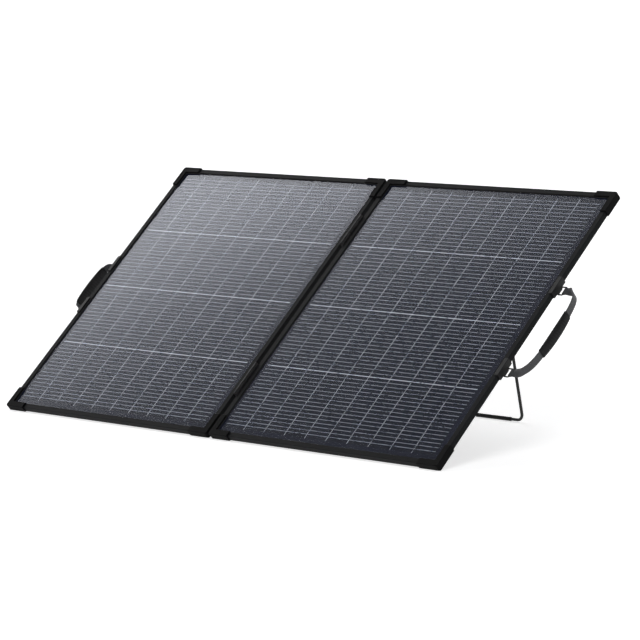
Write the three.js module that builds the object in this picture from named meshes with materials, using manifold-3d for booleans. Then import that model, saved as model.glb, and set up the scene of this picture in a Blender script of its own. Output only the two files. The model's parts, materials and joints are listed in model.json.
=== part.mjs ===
// Folding two-panel solar suitcase, standing open on its rear legs. Millimetres, +Z up.
// Each panel is built in its own flat frame: x across, y up the panel, z out of the glass,
// with z = 0 on the frame's front face. One tilt group then leans both panels back.
import * as THREE from "three";
import { mergeVertices } from "three/addons/utils/BufferGeometryUtils.js";
import Module from "manifold-3d";

// ---- Driving dimensions -------------------------------------------------------------------
const PANEL_W = 668;
const PANEL_H = 784;
const SEAM_GAP = 12; // between the two frames when open
const TILT = THREE.MathUtils.degToRad(40.5); // panel plane above the ground

const FRAME_DEPTH = 13.5;
const RAIL_FACE = 12.5; // width of the front lip
const RAIL_WALL = 1.8;
const LIP_THICK = 2.6;
const SLOT_FLOOR = 7.4; // depth of the ledge that the laminate lies on
const LEDGE_REACH = 9;
const LEDGE_THICK = 1.4;
const MITRE_GAP = 0.2;

const GUARD_ARM = 58; // measured from the guard's own outer corner
const GUARD_SIDE = 2.6; // beyond the frame's edge
const GUARD_FRONT = 2.8; // proud of the frame's front
const GUARD_BACK = 1.4; // proud of the frame's back
const GUARD_FIT = 0.15;
const GUARD_ROUND = 6;
const GUARD_BEVEL = 0.7;
const REST_FLAT = 3.5; // width of the flat that a bottom guard stands on

const GLASS_TOP = 2.9; // depth below the frame's front
const GLASS_THICK = 3;
const SHEET_THICK = 0.5;
const LAYER_GAP = 0.12;
const LAMINATE_INSET = 2.3; // laminate edge inside the frame's outer edge

const LEG_HALF_WIDTH = 85;
const LEG_PIVOT_Y = 227.8;
const LEG_PIVOT_DEPTH = 20.5;
const LEG_OPEN = THREE.MathUtils.degToRad(60.9); // leg to the panel's down direction
const ROD_R = 3.5;
const ROD_BEND = 16;
const STUB_BEND = 4;
const STUB_END = 104;
const SLEEVE_R = 4.6;
const SLEEVE_LENGTH = 103;
const CROSS_BAR_HALF = 13;
const CROSS_BAR_WALL = 1.6;
const ROD_CLEARANCE = 0.3;
const CHEEK_R = 6.2; // leg bracket's cheek, round the pivot
const CHEEK_FROM = LEG_HALF_WIDTH + ROD_R + 0.8;
const BRACKET_END = STUB_END - 1;
const BRACKET_BASE_HALF = 12.4;
const BRACKET_BASE_THICK = 2;
const STOP_LENGTH = 11; // part of the open leg that lies on the bracket's stop
const STOP_THICK = 4.5;
const CLIP_HALF_LENGTH = 14; // clip that holds the folded leg
const CLIP_WALL = 2.2;
const CLIP_FOOT = 6;
const CLIP_FOOT_THICK = 1.6;

const BOX_HALF = [46, 34]; // junction box
const BOX_ROUND = 6;
const BOX_Y = 306;
const BOX_BACK = 18;
const LID_BACK = 21;
const LID_INSET = 1.5;
// [radius, distance from the box]
const GLAND_PROFILE = [
  [0, 0], [5.4, 0], [5.4, 3], [4.4, 3.4], [4.4, 10], [3.2, 14], [2.2, 14], [2.2, 8], [0, 8],
];

const HINGE_Y = 230;
const HINGE_LENGTH = 90;
const HINGE_KNUCKLES = 5;
const HINGE_AXIS_Z = 3.4; // just above the guards, so that the panels close glass to glass
const HINGE_BARREL_R = 2.4;
const HINGE_PIN_R = 1.2;
const PIN_HEAD_R = 2;
const PIN_HEAD = 1;
const KNUCKLE_GAP = 0.2;
const LEAF_OUT = 5.6; // leaf's face next to the rail
const LEAF_IN = 3.9;

const BRACKET_LENGTH = 47.5;
const BRACKET_LAP = 6.6;
const BRACKET_SIDE = 3.4;
const BARREL_R = 3.1; // bracket's barrel, which the ring turns in
const BARREL_HALF = 7;
const RING_AXIS_OUT = 0.4; // ring's inner bar, beyond the frame's edge
const RING_AXIS_DEPTH = 16.9;
const RING_REACH = 13.6;
const RING_HALF = 11;
const RING_R = 1.6;
const RING_ROUND = 2.6;
const STRAP_WIDTH = 19;
const STRAP_THICK = 2.6;
const STRAP_DEPTH = 14.5; // strap's middle behind the frame's front
const STRAP_START = 17;
const LOOP_CLEARANCE = 2.1; // half of the strap loop's eye round the ring
const LOOP_HALF_WIDTH = 8;
const GRIP_PAD = 3.6;
const GRIP_BESIDE = 2; // grip beyond the strap's edges
const STRAP_FIT = 0.35;

// The two handles share their hardware; only the spacing, reach and grip differ.
const HANDLES = {
  right: { spacing: 117.5, reach: 63.5, power: 3.3, gripAt: -4.5, gripLength: 114, bulge: 5 },
  left: { spacing: 68, reach: 36.5, power: 5.2, gripAt: 0, gripLength: 114, bulge: 6 },
};

// ---- Materials ----------------------------------------------------------------------------
const finish = (color, roughness, metalness = 0) =>
  new THREE.MeshStandardMaterial({ color, roughness, metalness });
const anodised = finish(0x2e2f31, 0.45, 0.6);
const guardPlastic = finish(0x1b1c1d, 0.6);
const blackSteel = finish(0x141415, 0.4, 0.5);
const solarGlass = finish(0x2a3346, 0.08);
const cellBlue = finish(0x1e2636, 0.3);
const backFilm = finish(0x17181a, 0.55);
const rubber = finish(0x121212, 0.85);
const boxPlastic = finish(0x161617, 0.5);
const webbing = finish(0x414244, 0.95);
const gripFoam = finish(0x1c1c1e, 0.9);

// ---- Solids -------------------------------------------------------------------------------
const wasm = await Module();
wasm.setup();

function solid(geometry) {
  const bare = geometry.clone();
  bare.deleteAttribute("normal");
  bare.deleteAttribute("uv");
  const merged = mergeVertices(bare, 1e-4);
  return new wasm.Manifold(
    new wasm.Mesh({
      numProp: 3,
      vertProperties: new Float32Array(merged.attributes.position.array),
      triVerts: new Uint32Array(merged.index.array),
    }),
  );
}

function geometryOf(manifold) {
  const mesh = manifold.getMesh();
  const geometry = new THREE.BufferGeometry();
  geometry.setAttribute("position", new THREE.BufferAttribute(mesh.vertProperties, 3));
  geometry.setIndex(new THREE.BufferAttribute(mesh.triVerts, 1));
  const faceted = geometry.toNonIndexed();
  faceted.computeVertexNormals();
  return faceted;
}

const join = (...parts) => geometryOf(parts.map(solid).reduce((a, b) => a.add(b)));
const cut = (base, ...tools) =>
  geometryOf(tools.map(solid).reduce((a, b) => a.subtract(b), solid(base)));

// A box given by its lowest and highest corner.
function block([x0, y0, z0], [x1, y1, z1]) {
  return new THREE.BoxGeometry(x1 - x0, y1 - y0, z1 - z0).translate(
    (x0 + x1) / 2, (y0 + y1) / 2, (z0 + z1) / 2,
  );
}

function outline(points) {
  return new THREE.Shape(points.map(([x, y]) => new THREE.Vector2(x, y)));
}

// A flat outline in x and y, extruded from z0 to z1, with bevelled ends.
function plate(shape, z0, z1, bevel = 0, curveSegments = 5) {
  return new THREE.ExtrudeGeometry(shape, {
    depth: z1 - z0 - 2 * bevel,
    bevelEnabled: bevel > 0,
    bevelThickness: bevel,
    bevelSize: bevel,
    bevelOffset: -bevel,
    bevelSegments: 1,
    curveSegments,
  }).translate(0, 0, z0 + bevel);
}

// A section in (x, z), extruded along y from y0 to y1.
function alongY(shape, y0, y1, curveSegments = 8) {
  return new THREE.ExtrudeGeometry(shape, { depth: y1 - y0, bevelEnabled: false, curveSegments })
    .rotateX(Math.PI / 2)
    .translate(0, y1, 0);
}

// A section in (y, z), extruded along x from x0 to x1.
function alongX(shape, x0, x1, curveSegments = 8) {
  const turn = new THREE.Matrix4().makeBasis(
    new THREE.Vector3(0, 1, 0), new THREE.Vector3(0, 0, 1), new THREE.Vector3(1, 0, 0),
  );
  return new THREE.ExtrudeGeometry(shape, { depth: x1 - x0, bevelEnabled: false, curveSegments })
    .applyMatrix4(turn)
    .translate(x0, 0, 0);
}

function roundedRect(halfX, halfY, radius) {
  const shape = new THREE.Shape();
  shape.absarc(halfX - radius, halfY - radius, radius, 0, Math.PI / 2);
  shape.absarc(radius - halfX, halfY - radius, radius, Math.PI / 2, Math.PI);
  shape.absarc(radius - halfX, radius - halfY, radius, Math.PI, 1.5 * Math.PI);
  shape.absarc(halfX - radius, radius - halfY, radius, 1.5 * Math.PI, 2 * Math.PI);
  return shape;
}

function disc(x, y, radius) {
  const shape = new THREE.Shape();
  shape.absarc(x, y, radius, 0, 2 * Math.PI);
  return shape;
}

// The same closed surface with its faces pointing out.
function outward(geometry) {
  if (solid(geometry).volume() > 0) return geometry;
  const flipped = geometry.clone();
  const place = flipped.attributes.position;
  const a = new THREE.Vector3();
  const b = new THREE.Vector3();
  for (let i = 0; i < place.count; i += 3) {
    a.fromBufferAttribute(place, i + 1);
    b.fromBufferAttribute(place, i + 2);
    place.setXYZ(i + 1, b.x, b.y, b.z);
    place.setXYZ(i + 2, a.x, a.y, a.z);
  }
  flipped.computeVertexNormals();
  return flipped;
}

// A closed surface over a row of sections: each ring of points joins the next one. `cap` lists
// the triangles that close the first and last section of an open row.
function skin(rings, closed, cap) {
  const count = rings[0].length;
  const index = [];
  const last = closed ? rings.length : rings.length - 1;
  for (let i = 0; i < last; i++) {
    const a = i * count;
    const b = ((i + 1) % rings.length) * count;
    for (let j = 0; j < count; j++) {
      const k = (j + 1) % count;
      index.push(a + j, b + j, b + k, a + j, b + k, a + k);
    }
  }
  const end = (rings.length - 1) * count;
  for (const [a, b, c] of cap) index.push(a, b, c, end + a, end + c, end + b);
  const geometry = new THREE.BufferGeometry().setFromPoints(rings.flat());
  geometry.setIndex(index);
  const faceted = geometry.toNonIndexed();
  faceted.computeVertexNormals();
  return outward(faceted);
}

// Triangles from the first point of a convex section to all the others.
const fan = (count) => Array.from({ length: count - 2 }, (_, i) => [0, i + 1, i + 2]);

// A round bar along a flat path, mitred at each point; `flat` is the path plane's normal.
function bentBar(points, radius, flat, sides = 10, closed = false) {
  const n = points.length;
  const rings = points.map((point, i) => {
    const before = closed ? points[(i + n - 1) % n] : points[Math.max(i - 1, 0)];
    const after = closed ? points[(i + 1) % n] : points[Math.min(i + 1, n - 1)];
    const into = point.clone().sub(before).normalize();
    const out = after.clone().sub(point).normalize();
    if (into.lengthSq() === 0) into.copy(out);
    if (out.lengthSq() === 0) out.copy(into);
    const along = into.clone().add(out).normalize();
    const side = new THREE.Vector3().crossVectors(flat, along);
    const widen = 1 / Math.max(along.dot(into), 0.2);
    return Array.from({ length: sides }, (_, k) => {
      const angle = (2 * Math.PI * (k + 0.5)) / sides;
      return point.clone()
        .addScaledVector(side, radius * widen * Math.cos(angle))
        .addScaledVector(flat, radius * Math.sin(angle));
    });
  });
  return skin(rings, closed, closed ? [] : fan(sides));
}

// Points of a rounded path in a plane: straight runs with an arc of `radius` at each inner corner.
function roundedPath(corners, radii, steps = 5, closed = false) {
  const n = corners.length;
  const points = [];
  corners.forEach((corner, i) => {
    if (!closed && (i === 0 || i === n - 1)) {
      points.push(corner.clone());
      return;
    }
    const a = corners[(i + n - 1) % n].clone().sub(corner).normalize();
    const b = corners[(i + 1) % n].clone().sub(corner).normalize();
    const half = a.angleTo(b) / 2;
    const centre = a.clone().add(b).normalize().multiplyScalar(radii[i] / Math.sin(half)).add(corner);
    const start = corner.clone().addScaledVector(a, radii[i] / Math.tan(half)).sub(centre);
    const end = corner.clone().addScaledVector(b, radii[i] / Math.tan(half)).sub(centre);
    const sweep = start.angleTo(end);
    for (let s = 0; s <= steps; s++) {
      const t = s / steps;
      points.push(
        start.clone().multiplyScalar(Math.sin((1 - t) * sweep) / Math.sin(sweep))
          .addScaledVector(end, Math.sin(t * sweep) / Math.sin(sweep))
          .add(centre),
      );
    }
  });
  return points;
}

function addMesh(group, name, geometry, material) {
  const mesh = new THREE.Mesh(geometry, material);
  mesh.name = name;
  group.add(mesh);
  return mesh;
}

// ---- Frame rails --------------------------------------------------------------------------
// Section as [distance in from the outer edge, height]; front lip, glass ledge and back flange.
const RAIL_SECTION = [
  [0, -0.5], [0, 0.5 - FRAME_DEPTH], [0.5, -FRAME_DEPTH],
  [RAIL_FACE, -FRAME_DEPTH], [RAIL_FACE, RAIL_WALL - FRAME_DEPTH],
  [RAIL_WALL, RAIL_WALL - FRAME_DEPTH], [RAIL_WALL, -SLOT_FLOOR - LEDGE_THICK],
  [LEDGE_REACH, -SLOT_FLOOR - LEDGE_THICK], [LEDGE_REACH, -SLOT_FLOOR],
  [RAIL_WALL, -SLOT_FLOOR], [RAIL_WALL, -LIP_THICK],
  [RAIL_FACE, -LIP_THICK], [RAIL_FACE, -0.4], [RAIL_FACE - 0.4, 0], [0.5, 0],
];

// A rail with 45 degree ends, lying along x with its outer edge on y = 0 and the panel at y < 0.
function mitredRail(length) {
  const end = (sign) => RAIL_SECTION.map(
    ([u, z]) => new THREE.Vector3(sign * (length / 2 - u - MITRE_GAP), -u, z),
  );
  const cap = THREE.ShapeUtils.triangulateShape(outline(RAIL_SECTION).getPoints(), []);
  return skin([end(-1), end(1)], false, cap);
}

function addFrame(panel, side) {
  const rails = { top: [0, PANEL_H / 2, PANEL_W], bottom: [Math.PI, PANEL_H / 2, PANEL_W] };
  const across = { right: -Math.PI / 2, left: Math.PI / 2 };
  rails.outer = [across[side], PANEL_W / 2, PANEL_H];
  rails.seam = [-across[side], PANEL_W / 2, PANEL_H];
  for (const [place, [turn, out, length]] of Object.entries(rails)) {
    const rail = addMesh(panel, `${side}_${place}_rail`, mitredRail(length), anodised);
    rail.rotation.z = turn;
    rail.position.set(-Math.sin(turn) * out, Math.cos(turn) * out, 0);
  }
}

// ---- Corner guards ------------------------------------------------------------------------
// Height of a point of the panel above an arbitrary level, once the panel is tilted.
const heightOf = (y, z) => y * Math.sin(TILT) + z * Math.cos(TILT);
const GUARD_LOW_EDGE = heightOf(-PANEL_H / 2 - GUARD_SIDE, -FRAME_DEPTH - GUARD_BACK);
const GROUND = GUARD_LOW_EDGE + REST_FLAT * Math.sin(TILT) * Math.cos(TILT);

// Everything of the panel frame that lies under the ground plane.
function belowGround() {
  const size = 400;
  return new THREE.BoxGeometry(2 * size + PANEL_W, 2 * size, 2 * size)
    .translate(0, 0, -size + GROUND)
    .rotateX(-TILT);
}

// An L-shaped cap over the corner at (sx, sy), lapping the frame's front, edges and back.
function guard(sx, sy) {
  const outX = PANEL_W / 2 + GUARD_SIDE;
  const outY = PANEL_H / 2 + GUARD_SIDE;
  const armWidth = GUARD_SIDE + RAIL_FACE + 0.4;
  const shape = new THREE.Shape();
  shape.moveTo(sx * (outX - GUARD_ARM), sy * outY);
  const corner = new THREE.Vector2(outX - GUARD_ROUND, outY - GUARD_ROUND);
  for (let i = 0; i <= 4; i++) {
    const angle = Math.PI / 2 - (i * Math.PI) / 8;
    shape.lineTo(
      sx * (corner.x + GUARD_ROUND * Math.cos(angle)),
      sy * (corner.y + GUARD_ROUND * Math.sin(angle)),
    );
  }
  shape.lineTo(sx * outX, sy * (outY - GUARD_ARM));
  shape.lineTo(sx * (outX - armWidth), sy * (outY - GUARD_ARM));
  shape.lineTo(sx * (outX - armWidth), sy * (outY - armWidth));
  shape.lineTo(sx * (outX - GUARD_ARM), sy * (outY - armWidth));
  const cap = plate(shape, -FRAME_DEPTH - GUARD_BACK, GUARD_FRONT, GUARD_BEVEL);
  const frame = block(
    [-PANEL_W / 2 - GUARD_FIT, -PANEL_H / 2 - GUARD_FIT, -FRAME_DEPTH - GUARD_FIT],
    [PANEL_W / 2 + GUARD_FIT, PANEL_H / 2 + GUARD_FIT, GUARD_FIT],
  );
  return sy < 0 ? cut(cap, frame, belowGround()) : cut(cap, frame);
}

function addGuards(panel, side) {
  const outer = side === "right" ? 1 : -1;
  for (const [level, sy] of [["top", 1], ["bottom", -1]]) {
    addMesh(panel, `${side}_guard_${level}_outer`, guard(outer, sy), guardPlastic);
    addMesh(panel, `${side}_guard_${level}_seam`, guard(-outer, sy), guardPlastic);
  }
}

// ---- Laminate and back fittings -----------------------------------------------------------
function layer(top, thick) {
  const halfX = PANEL_W / 2 - LAMINATE_INSET;
  const halfY = PANEL_H / 2 - LAMINATE_INSET;
  return block([-halfX, -halfY, -top - thick], [halfX, halfY, -top]);
}

const CELLS_TOP = GLASS_TOP + GLASS_THICK + LAYER_GAP;
const FILM_TOP = CELLS_TOP + SHEET_THICK + LAYER_GAP;
const FILM_BACK = FILM_TOP + SHEET_THICK;

function addLaminate(panel, side) {
  addMesh(panel, `${side}_front_glass`, layer(GLASS_TOP, GLASS_THICK), solarGlass);
  addMesh(panel, `${side}_cell_sheet`, layer(CELLS_TOP, SHEET_THICK), cellBlue);
  addMesh(panel, `${side}_back_sheet`, layer(FILM_TOP, SHEET_THICK), backFilm);
}

const BAR_FRONT = SLOT_FLOOR + LEDGE_THICK + 0.4;
const BAR_BACK = FRAME_DEPTH - 0.1;

function addCrossBar(panel, side) {
  const halfLength = PANEL_W / 2 - RAIL_FACE - 0.4;
  const inside = CROSS_BAR_HALF - CROSS_BAR_WALL;
  const section = outline([
    [-CROSS_BAR_HALF, -BAR_FRONT], [-CROSS_BAR_HALF, 0.6 - BAR_BACK], [0.6 - CROSS_BAR_HALF, -BAR_BACK],
    [CROSS_BAR_HALF - 0.6, -BAR_BACK], [CROSS_BAR_HALF, 0.6 - BAR_BACK], [CROSS_BAR_HALF, -BAR_FRONT],
    [inside, -BAR_FRONT], [inside, CROSS_BAR_WALL - BAR_BACK],
    [-inside, CROSS_BAR_WALL - BAR_BACK], [-inside, -BAR_FRONT],
  ]);
  const bar = addMesh(panel, `${side}_cross_bar`, alongX(section, -halfLength, halfLength), anodised);
  bar.position.y = LEG_PIVOT_Y;
}

function addJunctionBox(panel, side) {
  const face = -FILM_BACK - 0.15;
  addMesh(panel, `${side}_junction_box`,
    plate(roundedRect(...BOX_HALF, BOX_ROUND), -BOX_BACK, face, 0, 4), boxPlastic,
  ).position.y = BOX_Y;
  const lidHalf = BOX_HALF.map((half) => half - LID_INSET);
  const lid = plate(roundedRect(...lidHalf, BOX_ROUND - 1), -LID_BACK, -BOX_BACK - 0.2, 1, 4);
  addMesh(panel, `${side}_junction_lid`, lid, boxPlastic).position.y = BOX_Y;

  const inward = side === "right" ? -1 : 1;
  const gland = new THREE.LatheGeometry(
    GLAND_PROFILE.map(([r, h]) => new THREE.Vector2(r, h)), 12,
  ).rotateZ(-inward * Math.PI / 2);
  addMesh(panel, `${side}_cable_gland`, gland, boxPlastic)
    .position.set(inward * (BOX_HALF[0] + 0.3), BOX_Y, (face - BOX_BACK) / 2);
}

// ---- Legs ---------------------------------------------------------------------------------
const LEAN = Math.PI / 2 - TILT - LEG_OPEN; // leg from the vertical, negative when it slopes back
const LEG_LENGTH = (heightOf(LEG_PIVOT_Y, -LEG_PIVOT_DEPTH) - GROUND - SLEEVE_R) / Math.cos(LEAN);

// The leg lies in the x-y plane with its pivot on y = 0 and its foot at y < 0, then turns open.
function addLeg(panel, side) {
  const leg = new THREE.Group();
  leg.position.set(0, LEG_PIVOT_Y, -LEG_PIVOT_DEPTH);
  leg.rotation.x = LEG_OPEN;
  panel.add(leg);
  const corners = [
    [-STUB_END, 0], [-LEG_HALF_WIDTH, 0], [-LEG_HALF_WIDTH, -LEG_LENGTH],
    [LEG_HALF_WIDTH, -LEG_LENGTH], [LEG_HALF_WIDTH, 0], [STUB_END, 0],
  ].map(([x, y]) => new THREE.Vector3(x, y, 0));
  const path = roundedPath(corners, [0, STUB_BEND, ROD_BEND, ROD_BEND, STUB_BEND, 0]);
  const flat = new THREE.Vector3(0, 0, 1);
  addMesh(leg, `${side}_leg_rod`, bentBar(path, ROD_R, flat, 12), blackSteel);

  const ends = [-1, 1].map((s) => new THREE.Vector3((s * SLEEVE_LENGTH) / 2, -LEG_LENGTH, 0));
  const bore = [-1, 1].map((s) => new THREE.Vector3(s * SLEEVE_LENGTH, -LEG_LENGTH, 0));
  const sleeve = cut(bentBar(ends, SLEEVE_R, flat, 12), bentBar(bore, ROD_R + 0.15, flat, 12));
  addMesh(leg, `${side}_leg_sleeve`, sleeve, rubber);
}

// A bracket on the cross bar: base, bored cheek and the fin that stops the open leg.
function legBracket() {
  const baseFront = LEG_PIVOT_DEPTH - BAR_BACK - 0.2;
  const baseBack = baseFront - BRACKET_BASE_THICK;
  const along = new THREE.Vector2(-Math.cos(LEG_OPEN), -Math.sin(LEG_OPEN));
  const beyond = new THREE.Vector2(Math.sin(LEG_OPEN), -Math.cos(LEG_OPEN));
  const at = (out, down) => [
    beyond.x * out + along.x * down, beyond.y * out + along.y * down,
  ];
  const stopFace = ROD_R + ROD_CLEARANCE;
  const fin = outline([
    at(stopFace, -2), at(stopFace, STOP_LENGTH), at(stopFace + STOP_THICK, STOP_LENGTH),
    [12, baseBack + 0.5], [4.6, baseBack + 0.5],
  ]);
  const cheek = new THREE.Shape();
  cheek.moveTo(-12, baseBack + 0.5);
  cheek.absarc(0, 0, CHEEK_R, Math.PI, 2 * Math.PI);
  cheek.lineTo(12, baseBack + 0.5);
  const base = block(
    [LEG_HALF_WIDTH - 8, -BRACKET_BASE_HALF, baseBack], [BRACKET_END, BRACKET_BASE_HALF, baseFront],
  );
  const body = join(
    base, alongX(cheek, CHEEK_FROM, BRACKET_END), alongX(fin, LEG_HALF_WIDTH - 5, CHEEK_FROM + 0.5),
  );
  return cut(body, alongX(disc(0, 0, ROD_R + ROD_CLEARANCE), CHEEK_FROM - 1, STUB_END + 1, 12));
}

function addLegMounts(panel, side) {
  const outer = side === "right" ? 1 : -1;
  for (const [place, sign] of [["outer", outer], ["seam", -outer]]) {
    const bracket = addMesh(panel, `${side}_leg_bracket_${place}`, legBracket(), blackSteel);
    bracket.scale.x = sign;
    bracket.position.set(0, LEG_PIVOT_Y, -LEG_PIVOT_DEPTH);
  }
  const face = LEG_PIVOT_DEPTH - FILM_BACK - 0.15;
  const inner = SLEEVE_R + 0.4;
  const half = [
    [inner, inner], [inner, -0.6], [inner + 1.2, -1.6], [inner + CLIP_WALL, 0.6],
    [inner + CLIP_WALL, face - CLIP_FOOT_THICK], [inner + CLIP_FOOT, face - CLIP_FOOT_THICK],
    [inner + CLIP_FOOT, face],
  ];
  const cradle = outline([...half, ...half.map(([y, z]) => [-y, z]).reverse()]);
  const clip = addMesh(
    panel, `${side}_leg_clip`, alongX(cradle, -CLIP_HALF_LENGTH, CLIP_HALF_LENGTH), boxPlastic,
  );
  clip.position.set(0, LEG_PIVOT_Y - LEG_LENGTH, -LEG_PIVOT_DEPTH);
}

// ---- Handles ------------------------------------------------------------------------------
// Built on the right: x counts outwards from the frame's edge. The left one is mirrored.
function handleBracket() {
  const clip = outline([
    [-BRACKET_LAP, 0.2], [-BRACKET_LAP, 1.6], [-BRACKET_LAP + 0.6, 2.0], [BRACKET_SIDE - 1, 2.0],
    [BRACKET_SIDE, 1], [BRACKET_SIDE, -FRAME_DEPTH - 0.6], [BRACKET_SIDE - 0.8, -FRAME_DEPTH - 1.5],
    [-RAIL_FACE, -FRAME_DEPTH - 1.5], [-RAIL_FACE, -FRAME_DEPTH - 0.2], [0.2, -FRAME_DEPTH - 0.2],
    [0.2, 0.2],
  ]);
  const half = BRACKET_LENGTH / 2;
  const barrel = join(
    alongY(disc(RING_AXIS_OUT, -RING_AXIS_DEPTH, BARREL_R), -BARREL_HALF, BARREL_HALF),
    alongY(outline([[-4, -14.2], [3.2, -14.2], [3.2, -16.9], [-2.4, -16.9]]), -BARREL_HALF, BARREL_HALF),
  );
  const boreR = RING_R + ROD_CLEARANCE;
  const bore = alongY(disc(RING_AXIS_OUT, -RING_AXIS_DEPTH, boreR), -BARREL_HALF - 1, BARREL_HALF + 1);
  return cut(join(alongY(clip, -half, half), barrel), bore);
}

function handleRing() {
  const corners = [[0, -RING_HALF], [RING_REACH, -RING_HALF], [RING_REACH, RING_HALF], [0, RING_HALF]]
    .map(([x, y]) => new THREE.Vector3(x, y, 0));
  const path = roundedPath(corners, corners.map(() => RING_ROUND), 3, true);
  return bentBar(path, RING_R, new THREE.Vector3(0, 0, 1), 8, true);
}

// The strap's middle line: an arch that leaves one ring, runs past the grip and returns.
function archPoint({ spacing, reach, power }, angle) {
  const c = Math.max(Math.cos(angle), 0);
  const s = Math.sin(angle);
  return new THREE.Vector2(
    STRAP_START + (reach - STRAP_START) * c ** (2 / power),
    spacing * Math.sign(s) * Math.abs(s) ** (2 / power),
  );
}

// Evenly spaced points of the arch between two heights.
function archLine(handle, low, high, count) {
  const dense = Array.from({ length: 721 }, (_, i) => archPoint(handle, (i / 720 - 0.5) * Math.PI));
  const kept = dense.filter((p) => p.y >= low && p.y <= high);
  const lengths = [0];
  for (let i = 1; i < kept.length; i++) lengths.push(lengths[i - 1] + kept[i].distanceTo(kept[i - 1]));
  const total = lengths[lengths.length - 1];
  return Array.from({ length: count + 1 }, (_, step) => {
    const want = (total * step) / count;
    let i = Math.max(1, lengths.findIndex((length) => length >= want - 1e-9));
    if (i < 1) i = kept.length - 1;
    const t = (want - lengths[i - 1]) / Math.max(lengths[i] - lengths[i - 1], 1e-9);
    return kept[i - 1].clone().lerp(kept[i], t);
  });
}

// A band that follows the line, with its own thickness on the inner and outer side.
function band(line, inner, outer, halfWidth, middle) {
  const normals = line.map((_, i) => {
    const a = line[Math.max(i - 1, 0)];
    const b = line[Math.min(i + 1, line.length - 1)];
    const along = b.clone().sub(a).normalize();
    return new THREE.Vector2(along.y, -along.x);
  });
  const outerEdge = line.map((p, i) => p.clone().addScaledVector(normals[i], outer(i / (line.length - 1))));
  const innerEdge = line.map((p, i) => p.clone().addScaledVector(normals[i], -inner(i / (line.length - 1))));
  const shape = new THREE.Shape([...outerEdge, ...innerEdge.reverse()]);
  return plate(shape, middle - halfWidth, middle + halfWidth);
}

function handleStrap(handle) {
  const half = () => STRAP_THICK / 2;
  const line = archLine(handle, -handle.spacing, handle.spacing, 36);
  const arch = band(line, half, half, STRAP_WIDTH / 2, -STRAP_DEPTH);
  const loops = [-1, 1].map((s) => {
    const y = s * handle.spacing;
    const x = RING_AXIS_OUT + RING_REACH;
    const box = (out, beyond, width) => block(
      [x - out, y - width, -RING_AXIS_DEPTH - out], [x + out + beyond, y + width, -RING_AXIS_DEPTH + out],
    );
    const outside = LOOP_CLEARANCE + STRAP_THICK / 2;
    return cut(box(outside, 3.1, LOOP_HALF_WIDTH), box(LOOP_CLEARANCE, 0, LOOP_HALF_WIDTH + 1));
  });
  return join(arch, ...loops);
}

function handleGrip(handle) {
  const low = handle.gripAt - handle.gripLength / 2;
  const high = handle.gripAt + handle.gripLength / 2;
  const line = archLine(handle, low, high, 12);
  const pad = band(
    line, () => GRIP_PAD, (t) => GRIP_PAD + handle.bulge * Math.sin(Math.PI * t),
    STRAP_WIDTH / 2 + GRIP_BESIDE, -STRAP_DEPTH,
  );
  const clear = () => STRAP_THICK / 2 + STRAP_FIT;
  const whole = archLine(handle, -handle.spacing, handle.spacing, 36);
  return cut(pad, band(whole, clear, clear, STRAP_WIDTH / 2 + STRAP_FIT, -STRAP_DEPTH));
}

function addHandle(panel, side) {
  const handle = HANDLES[side];
  const outward = side === "right" ? 1 : -1;
  const group = new THREE.Group();
  group.position.x = (outward * PANEL_W) / 2;
  group.scale.x = outward;
  panel.add(group);
  for (const [place, sign] of [["upper", 1], ["lower", -1]]) {
    const y = sign * handle.spacing;
    addMesh(group, `${side}_handle_bracket_${place}`, handleBracket(), guardPlastic).position.y = y;
    addMesh(group, `${side}_handle_ring_${place}`, handleRing(), blackSteel)
      .position.set(RING_AXIS_OUT, y, -RING_AXIS_DEPTH);
  }
  addMesh(group, `${side}_handle_strap`, handleStrap(handle), webbing);
  addMesh(group, `${side}_handle_grip`, handleGrip(handle), gripFoam);
}

// ---- Seam hinges --------------------------------------------------------------------------
// One leaf on the right of the seam, with every second knuckle starting from `first`.
function hingeLeaf(first) {
  const pitch = HINGE_LENGTH / HINGE_KNUCKLES;
  const low = -HINGE_LENGTH / 2;
  const parts = [block([LEAF_IN, low, 1 - FRAME_DEPTH], [LEAF_OUT, -low, 1])];
  for (let i = first; i < HINGE_KNUCKLES; i += 2) {
    const y0 = low + i * pitch + KNUCKLE_GAP;
    const y1 = y0 + pitch - 2 * KNUCKLE_GAP;
    parts.push(block([0, y0, 1], [LEAF_OUT, y1, HINGE_AXIS_Z - 0.5]));
    parts.push(block([LEAF_IN, y0, 0.5], [LEAF_OUT, y1, 1.5]));
    parts.push(alongY(disc(0, HINGE_AXIS_Z, HINGE_BARREL_R), y0, y1));
  }
  return cut(join(...parts), alongY(disc(0, HINGE_AXIS_Z, HINGE_PIN_R + ROD_CLEARANCE), low - 1, 1 - low));
}

function hingePin() {
  const end = HINGE_LENGTH / 2 + 0.3;
  const tip = end + PIN_HEAD;
  const profile = [
    [0, -tip], [PIN_HEAD_R, -tip], [PIN_HEAD_R, -end], [HINGE_PIN_R, -end],
    [HINGE_PIN_R, end], [PIN_HEAD_R, end], [PIN_HEAD_R, tip], [0, tip],
  ];
  return new THREE.LatheGeometry(profile.map(([r, h]) => new THREE.Vector2(r, h)), 10)
    .translate(0, 0, HINGE_AXIS_Z);
}

function addHinges(group) {
  for (const [place, sign] of [["upper", 1], ["lower", -1]]) {
    const hinge = new THREE.Group();
    hinge.position.y = sign * HINGE_Y;
    group.add(hinge);
    addMesh(hinge, `hinge_leaf_right_${place}`, hingeLeaf(0), blackSteel);
    addMesh(hinge, `hinge_leaf_left_${place}`, hingeLeaf(1), blackSteel).scale.x = -1;
    addMesh(hinge, `hinge_pin_${place}`, hingePin(), blackSteel);
  }
}

// ---- Assembly -----------------------------------------------------------------------------
const suitcase = new THREE.Group();
const tilted = new THREE.Group();
tilted.rotation.x = TILT;
suitcase.add(tilted);

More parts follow.
